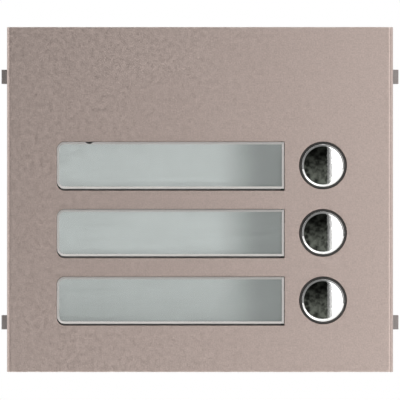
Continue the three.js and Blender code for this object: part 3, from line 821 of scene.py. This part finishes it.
def makeSeal(row):
    piece = copyNode(f"button_seal_{row}", f"buttonSeal{row}")
    middle = centreOf(f"button_cap_{row}")
    centre = (middle.x, middle.z)
    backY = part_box(f"button_seal_{row}")[1].y
    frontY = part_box("face_plate")[0].y + seal["lipBehindFace"]
    lip = addRod("lip", centre, seal["lipOuter"], frontY, backY - seal["lipOverlap"], 96)
    bore = addRod("bore", centre, seal["lipInner"], frontY - mm, backY + mm, 96)
    combine(lip, [bore], "DIFFERENCE")
    combine(piece, [lip], "UNION")
    breakEdges(piece, seal["rounding"], segments=2)
    handOver(piece, "housing", "black_rubber", [f"button_seal_{row}"])


for row in rowNumbers:
    makeButtonCap(row)
    makeSeal(row)
    makeSpring(row)
print("buttons and springs made")


# chassis: the moulded tray, its edges broken, with ribs along its sides and gussets by the lugs
chassis = dict(rounding=0.22 * mm, coverGap=0.3 * mm, ribFront=1.2 * mm, ribBack=1.5 * mm, ribProud=0.5 * mm,
               ribWidth=1.2 * mm, ribPitch=9.5 * mm, ribCount=6, endRibPitch=11 * mm, endRibCount=9,
               lugZ=38.3 * mm, gussetReach=3.2 * mm, gussetWidth=1.2 * mm, gussetRoot=0.4 * mm,
               gussetFront=4 * mm, gussetBack=3 * mm, gussetSlopeFrom=6 * mm)


def makeGusset(side, lugZ, wallX, frontY, backY):
    x = side * (wallX + (chassis["gussetReach"] - chassis["gussetRoot"]) / 2)
    size = (chassis["gussetReach"] + chassis["gussetRoot"], chassis["gussetWidth"])
    gusset = addBar("gusset", (x, lugZ), size, frontY + chassis["gussetFront"], backY - chassis["gussetBack"])
    slopeY = frontY + chassis["gussetSlopeFrom"]
    choose(gusset, "VERT", lambda point: point.co.y > slopeY and abs(point.co.x) > wallX + mm)
    bpy.ops.transform.translate(value=(-side * (chassis["gussetReach"] - chassis["gussetRoot"]), 0, 0))
    leaveEdit()
    return gusset


def makeChassis():
    piece = copyNode("chassis", "chassisTray")
    coverLow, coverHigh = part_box("rear_cover")
    wallX, wallZ = coverHigh.x, coverHigh.z
    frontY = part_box("face_plate")[1].y + chassis["ribFront"]
    backY = coverLow.y - chassis["coverGap"]
    ribBackY = backY - chassis["ribBack"]
    deep, wide = 2 * chassis["ribProud"], chassis["ribWidth"]
    added = []
    for side in (-1, 1):
        for number in range(chassis["ribCount"]):
            z = (number - (chassis["ribCount"] - 1) / 2) * chassis["ribPitch"]
            added.append(addBar("rib", (side * wallX, z), (deep, wide), frontY, ribBackY))
        for number in range(chassis["endRibCount"]):
            x = (number - (chassis["endRibCount"] - 1) / 2) * chassis["endRibPitch"]
            added.append(addBar("rib", (x, side * wallZ), (wide, deep), frontY, ribBackY))
    for side in (-1, 1):
        for lugZ in (-chassis["lugZ"], chassis["lugZ"]):
            added.append(makeGusset(side, lugZ, wallX, frontY, backY))
    combine(piece, added, "UNION")
    breakEdges(piece, chassis["rounding"], segments=2)
    handOver(piece, "housing", "grey_plastic", ["chassis"])


# rear cover: rounded wiring window, a shallow panel, and the round marks of the mould's pins
rear = dict(rounding=0.3 * mm, windowCorner=1.2 * mm, panelSize=(62 * mm, 26 * mm), panelZ=25 * mm,
            panelDepth=0.4 * mm, panelCorner=2.5 * mm, markRadius=2.2 * mm, markDepth=0.15 * mm,
            markPlaces=((-44, 8), (44, 8), (-44, -30), (44, -30), (-20, 44), (20, 44)))


def atWindowSide(middle):
    return 26 * mm < abs(middle.x) < 30 * mm and middle.z < 0


def makeRearCover():
    piece = copyNode("rear_cover", "rearCover")
    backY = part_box("rear_cover")[1].y
    roundAlong(piece, 1, rear["windowCorner"], 6, atWindowSide)
    panel = addBar("panel", (0, rear["panelZ"]), rear["panelSize"], backY - rear["panelDepth"], backY + mm)
    roundAlong(panel, 1, rear["panelCorner"], 6)
    marks = [addRod("mark", (x * mm, z * mm), rear["markRadius"], backY - rear["markDepth"], backY + mm, 40)
             for x, z in rear["markPlaces"]]
    combine(piece, [panel, *marks], "DIFFERENCE")
    breakEdges(piece, rear["rounding"], segments=3)
    handOver(piece, "housing", "grey_plastic", ["rear_cover"])


makeChassis()
makeRearCover()
print("chassis and rear cover made")


# screws: a domed and slotted head on a tapered shank, modelled once at the origin for each kind
screws = dict(rear=dict(head=2.8 * mm, headHeight=1.5 * mm, shank=1.4 * mm),
              board=dict(head=2.4 * mm, headHeight=1.4 * mm, shank=1.2 * mm),
              terminal=dict(head=1.6 * mm, headHeight=1.0 * mm, shank=1.5 * mm))
screwSlot = dict(width=0.7 * mm, depth=0.6 * mm, rounding=0.06 * mm)


def makeScrews(kind):
    look = screws[kind]
    low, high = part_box(f"{kind}_screw_1")
    length = high.y - low.y
    crown = 0.25 * look["headHeight"]
    profile = [
        (0.3 * look["shank"], -length),
        (look["shank"], -length + look["shank"]),
        (look["shank"], -look["headHeight"]),
        (look["head"], -look["headHeight"]),
        (look["head"], -crown),
        (0.88 * look["head"], -0.3 * crown),
        (0.6 * look["head"], 0),
    ]
    pattern = turnPiece(f"{kind}Screw", (0, 0), profile, sides=40)
    slot = addBar("slot", (0, 0), (4 * look["head"], screwSlot["width"]), -screwSlot["depth"], mm)
    combine(pattern, [slot], "DIFFERENCE")
    breakEdges(pattern, screwSlot["rounding"], segments=2)
    for number in (1, 2, 3, 4):
        node = f"{kind}_screw_{number}"
        middle = centreOf(node)
        twin = copyPiece(pattern, f"{kind}Screw{number}", (middle.x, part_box(node)[1].y, middle.z))
        handOver(twin, "housing", "zinc_screw", [node])
    bpy.data.objects.remove(pattern, do_unlink=True)


for kind in screws:
    makeScrews(kind)
print("screws made")


# terminal block: grooves between its poles, and a steel clamp in each wire hole
terminal = dict(pitch=5.08 * mm, grooveWidth=0.5 * mm, grooveDepth=0.5 * mm, rounding=0.12 * mm,
                wireY=3.2 * mm, clampWidth=2.9 * mm, clampWall=0.35 * mm, clampFront=0.9 * mm,
                clampBack=4.8 * mm, clampBore=2.6 * mm, clampRounding=0.06 * mm)


def makeTerminalBlock():
    piece = copyNode("terminal_block", "terminalBlock")
    low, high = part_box("terminal_block")
    depth = terminal["grooveDepth"]
    bottom, backY = low.z - mm, high.y + mm
    grooves = []
    for number in (-1, 0, 1):
        x = (low.x + high.x) / 2 + number * terminal["pitch"]
        left, right = x - terminal["grooveWidth"] / 2, x + terminal["grooveWidth"] / 2
        grooves.append(addBlock("groove", (left, high.y - 0.5 * depth, bottom), (right, backY, high.z + mm)))
        grooves.append(addBlock("groove", (left, low.y - mm, bottom), (right, backY, low.z + depth)))
    combine(piece, grooves, "DIFFERENCE")
    breakEdges(piece, terminal["rounding"], segments=2)
    handOver(piece, "housing", "terminal_plastic", ["terminal_block"])
    half = terminal["clampWidth"] / 2
    wireY = low.y + terminal["wireY"]
    clamps = []
    for number in (1, 2, 3, 4):
        x = centreOf(f"terminal_screw_{number}").x
        clamp = addBlock("clamp", (x - half, wireY - half, low.z + terminal["clampFront"]),
                         (x + half, wireY + half, low.z + terminal["clampBack"]))
        choose(clamp, "FACE", faceLooks((0, 0, -1)))
        bpy.ops.mesh.inset(thickness=terminal["clampWall"], depth=0)
        bpy.ops.mesh.extrude_region_move(TRANSFORM_OT_translate={"value": (0, 0, terminal["clampBore"])})
        leaveEdit()
        clamps.append(clamp)
    cage = joinUp(clamps, "wireClamps")
    breakEdges(cage, terminal["clampRounding"], segments=2)
    handOver(cage, "housing", "zinc_screw")


# link header: a keyed shroud round two rows of pins
header = dict(rounding=0.15 * mm, pinPitch=2 * mm, pinRows=2, pinColumns=5, pinWidth=0.55 * mm,
              pinRoot=1.1 * mm, pinReach=4.6 * mm, tipInset=0.15 * mm, tipReach=0.25 * mm,
              keyWidth=3.2 * mm, keyDepth=2.5 * mm, keyFromMiddle=1.5 * mm)


def makeLinkHeader():
    piece = copyNode("link_header", "linkHeader")
    low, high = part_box("link_header")
    middle = centreOf("link_header")
    halfKey = header["keyWidth"] / 2
    key = addBlock("key", (middle.x - halfKey, high.y - header["keyDepth"], low.z - mm),
                   (middle.x + halfKey, high.y + mm, middle.z - header["keyFromMiddle"]))
    combine(piece, [key], "DIFFERENCE")
    breakEdges(piece, header["rounding"], segments=2)
    handOver(piece, "housing", "black_plastic", ["link_header"])
    size = (header["pinWidth"], header["pinWidth"])
    rootY = low.y + header["pinRoot"]
    pins = []
    for line in range(header["pinRows"]):
        for column in range(header["pinColumns"]):
            x = middle.x + (column - (header["pinColumns"] - 1) / 2) * header["pinPitch"]
            z = middle.z + (line - (header["pinRows"] - 1) / 2) * header["pinPitch"]
            pin = addBar("pin", (x, z), size, rootY, rootY + header["pinReach"])
            choose(pin, "FACE", faceLooks((0, 1, 0)))
            bpy.ops.mesh.inset(thickness=header["tipInset"], depth=0)
            bpy.ops.transform.translate(value=(0, header["tipReach"], 0))
            leaveEdit()
            pins.append(pin)
    handOver(joinUp(pins, "headerPins"), "housing", "brass_pin", slotName="zinc_screw")


# small parts soldered to the back of the board, inside the wiring window: X, Z and turned or not
soldered = dict(size=(2.0 * mm, 1.25 * mm, 0.6 * mm), capLength=0.4 * mm, capProud=0.03 * mm,
                boardGap=0.02 * mm, rounding=0.05 * mm, endRounding=0.08 * mm, places=(
                    (-24, -36, 0), (-20.5, -36, 0), (-17, -36, 0), (-24, -32.5, 0), (-9, -36.5, 90),
                    (-5.5, -36.5, 90), (-2, -36.5, 90), (4, -33, 0), (4, -36, 0), (10, -36.5, 90),
                    (13.5, -36.5, 90), (22, -34, 0), (22, -31, 0), (25.5, -24, 90), (25.5, -20, 90),
                    (2.5, -21, 90), (5, -25, 90)))


def makeSolderedParts():
    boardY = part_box("circuit_board")[1].y
    length, width, height = soldered["size"]
    proud = soldered["capProud"]
    bodies, ends = [], []
    for x, z, turn in soldered["places"]:
        size = (length, width)
        endSize = (soldered["capLength"], width + 2 * proud)
        along = (1, 0)
        if turn:
            size, endSize, along = size[::-1], endSize[::-1], (0, 1)
        bodies.append(addBar("chip", (x * mm, z * mm), size, boardY + soldered["boardGap"], boardY + height))
        for way in (-1, 1):
            shift = way * (length - soldered["capLength"]) / 2
            middle = (x * mm + along[0] * shift, z * mm + along[1] * shift)
            ends.append(addBar("end", middle, endSize, boardY, boardY + height + proud))
    chips = breakEdges(joinUp(bodies, "solderedParts"), soldered["rounding"], segments=1)
    handOver(chips, "housing", "black_plastic")
    caps = breakEdges(joinUp(ends, "solderedEnds"), soldered["endRounding"], segments=2)
    handOver(caps, "housing", "tin_cap", slotName="zinc_screw")


# control chip: its legs bent down to the board on all four sides
chipLeg = dict(width=0.35 * mm, pitch=0.8 * mm, count=10, thickness=0.2 * mm, root=0.5 * mm, reach=0.3 * mm,
               slope=0.2 * mm, foot=0.4 * mm, rounding=0.03 * mm)


def makeChipLegs():
    low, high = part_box("control_chip")
    middle = (low + high) / 2
    half = (high.x - low.x) / 2
    bottomY = middle.y - chipLeg["thickness"]
    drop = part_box("circuit_board")[1].y - bottomY
    legs = []
    for number in range(chipLeg["count"]):
        z = (number - (chipLeg["count"] - 1) / 2) * chipLeg["pitch"]
        leg = addBlock("leg", (half - chipLeg["root"], bottomY, z - chipLeg["width"] / 2),
                       (half + chipLeg["reach"], middle.y, z + chipLeg["width"] / 2))
        choose(leg, "FACE", faceLooks((1, 0, 0)))
        bpy.ops.mesh.extrude_region_move(TRANSFORM_OT_translate={"value": (chipLeg["slope"], drop, 0)})
        bpy.ops.mesh.extrude_region_move(TRANSFORM_OT_translate={"value": (chipLeg["foot"], 0, 0)})
        leaveEdit()
        legs.append(leg)
    side = joinUp(legs, "chipLegs")
    sides = [side]
    for quarter in (1, 2, 3):
        twin = copyPiece(side, "chipLegs")
        twin.rotation_euler = (0, quarter * math.pi / 2, 0)
        sides.append(bakePlace(twin, "chipLegs"))
    ring = joinUp(sides, "chipLegs")
    ring.location = (middle.x, 0, middle.z)
    bakePlace(ring, "chipLegs")
    breakEdges(ring, chipLeg["rounding"], segments=1)
    handOver(ring, "housing", "tin_cap", slotName="zinc_screw")


makeTerminalBlock()
makeLinkHeader()
makeSolderedParts()
makeChipLegs()
print("terminals, header and soldered parts made")


# inner pieces that keep their own shape and get their moulded edges, each with the rounding given here
inner = dict(plate_gasket=0.12 * mm, circuit_board=0.08 * mm, control_chip=0.12 * mm, light_guide=0.15 * mm,
             switch_body=0.25 * mm, switch_plunger=0.2 * mm, led=0.12 * mm)


def softenInner(node, width):
    words = node.split("_")
    name = words[0] + "".join(word.capitalize() for word in words[1:])
    piece = copyNode(node, name)
    breakEdges(piece, width, segments=2)
    handOver(piece, bodyOfNode[node], slotOfNode[node], [node])


for stem, width in inner.items():
    for node in nodesLike(stem):
        softenInner(node, width)
print("inner pieces made")


# studio: pale floor, a mottled dim room in front, soft light from the right, the camera straight on
studio = dict(floorDrop=0.22, floorSize=3.0, floorBack=0.75, floorGlow=0.13, cameraAway=1.8,
              cameraHeight=-0.14 * mm, frameWidth=124.25 * mm, sensor=36.0)
room = dict(top=0.010, low=0.085, edge=0.16, mottle=13.0, tint=(0.93, 1.0, 0.86), around=0.24, right=0.42,
            left=0.08, leftPanel=0.25, beside=1.9, above=1.6, behind=0.9)
softboxes = dict(
    keyLight=dict(place=(0.350, -0.845, 0.06), size=(0.36, 0.85), power=2.63),
    nearWing=dict(place=(0.169, -0.920, 0.06), size=(0.034, 0.85), power=0.060),
    farWing=dict(place=(0.138, -0.933, 0.06), size=(0.034, 0.85), power=0.020),
    lowFill=dict(place=(-0.10, -0.12, -0.20), size=(0.26, 0.16), power=0.09))


def makeFloor():
    letGo()
    place = (0, studio["floorBack"], cadBox[0].z - studio["floorDrop"])
    bpy.ops.mesh.primitive_plane_add(size=studio["floorSize"], location=place)
    floor = bakePlace(bpy.context.object, "floor")
    material, tree, shader = newFinish("paleFloor")
    grain = useGroup(tree, grainGroup, Fine=900.0, Coarse=40.0)
    colour = blendColour(tree, grain.outputs["Cloud"], (0.93, 0.93, 0.92), (0.96, 0.96, 0.95))
    tree.links.new(colour, shader.inputs["Base Color"])
    shader.inputs["Roughness"].default_value = 0.7
    shader.inputs["Emission Color"].default_value = (1, 1, 0.99, 1)
    shader.inputs["Emission Strength"].default_value = studio["floorGlow"]
    dress(floor, material)


# the light from each way round the part
def makeWorld():
    world = bpy.data.worlds.new("studio")
    bpy.context.scene.world = world
    world.use_nodes = True
    tree = world.node_tree
    tree.nodes.clear()
    way = tree.nodes.new("ShaderNodeTexCoord").outputs["Generated"]
    split = tree.nodes.new("ShaderNodeSeparateXYZ")
    tree.links.new(way, split.inputs[0])
    x, y, z = split.outputs
    leftward = sums(tree, "SUBTRACT", sums(tree, "MULTIPLY", x, -0.9), sums(tree, "MULTIPLY", z, 0.44))
    level = remap(tree, leftward, -0.75, -0.4, room["right"], room["around"], smooth=True)
    mottle = tree.nodes.new("ShaderNodeTexNoise")
    mottle.inputs["Scale"].default_value = room["mottle"]
    mottle.inputs["Detail"].default_value = 4.0
    tree.links.new(way, mottle.inputs["Vector"])
    ahead = remap(tree, z, room["edge"], -room["edge"], room["top"], room["low"])
    ahead = sums(tree, "MULTIPLY", ahead, remap(tree, mottle.outputs["Fac"], 0.38, 0.62, 0.25, 1.8))
    level = sums(tree, "ADD", level, remap(tree, leftward, 0.5, 0.85, 0, room["left"], smooth=True))
    panel = sums(tree, "MULTIPLY", remap(tree, leftward, 0.25, 0.45, 0, room["leftPanel"], smooth=True),
                 remap(tree, y, -0.55, -0.42, 1, 0, smooth=True))
    level = sums(tree, "ADD", level, panel)
    level = remap(tree, y, -0.95, -0.89, ahead, level, smooth=True)
    level = remap(tree, y, -0.1, 0.2, level, room["behind"], smooth=True)
    band = remap(tree, sums(tree, "ABSOLUTE", y), 0.17, 0.08, 0, room["beside"], smooth=True)
    level = sums(tree, "ADD", level, band)
    level = sums(tree, "ADD", level, remap(tree, z, 0.975, 0.99, 0, room["above"], smooth=True))
    surroundings = tree.nodes.new("ShaderNodeBackground")
    tree.links.new(level, surroundings.inputs["Strength"])
    tint = blendColour(tree, remap(tree, y, -0.95, -0.89, 0, 1), room["tint"], (1, 1, 1))
    tree.links.new(tint, surroundings.inputs["Color"])
    backdrop = tree.nodes.new("ShaderNodeBackground")
    backdrop.inputs["Color"].default_value = (1, 1, 1, 1)
    seen = tree.nodes.new("ShaderNodeLightPath")
    mixer = tree.nodes.new("ShaderNodeMixShader")
    tree.links.new(seen.outputs["Is Camera Ray"], mixer.inputs["Fac"])
    tree.links.new(surroundings.outputs[0], mixer.inputs[1])
    tree.links.new(backdrop.outputs[0], mixer.inputs[2])
    leave = tree.nodes.new("ShaderNodeOutputWorld")
    tree.links.new(mixer.outputs[0], leave.inputs["Surface"])


# a soft lamp that faces the middle of the part
def addSoftbox(name, look):
    data = bpy.data.lights.new(name, "AREA")
    data.shape = "RECTANGLE"
    data.size, data.size_y = look["size"]
    data.energy = look["power"]
    lamp = bpy.data.objects.new(name, data)
    bpy.context.scene.collection.objects.link(lamp)
    lamp.location = look["place"]
    lamp.rotation_euler = (-Vector(look["place"])).to_track_quat("-Z", "Y").to_euler()
    lamp.visible_camera = False


def makeCamera():
    data = bpy.data.cameras.new("camera")
    data.sensor_width = studio["sensor"]
    data.lens = studio["sensor"] * studio["cameraAway"] / studio["frameWidth"]
    data.clip_end = 20
    camera = bpy.data.objects.new("camera", data)
    bpy.context.scene.collection.objects.link(camera)
    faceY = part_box("face_plate")[0].y
    camera.location = (0, faceY - studio["cameraAway"], studio["cameraHeight"])
    camera.rotation_euler = (math.pi / 2, 0, 0)
    bpy.context.scene.camera = camera


makeFloor()
makeWorld()
for name, look in softboxes.items():
    addSoftbox(name, look)
makeCamera()
bpy.context.scene.view_settings.view_transform = "Standard"
print("studio made")
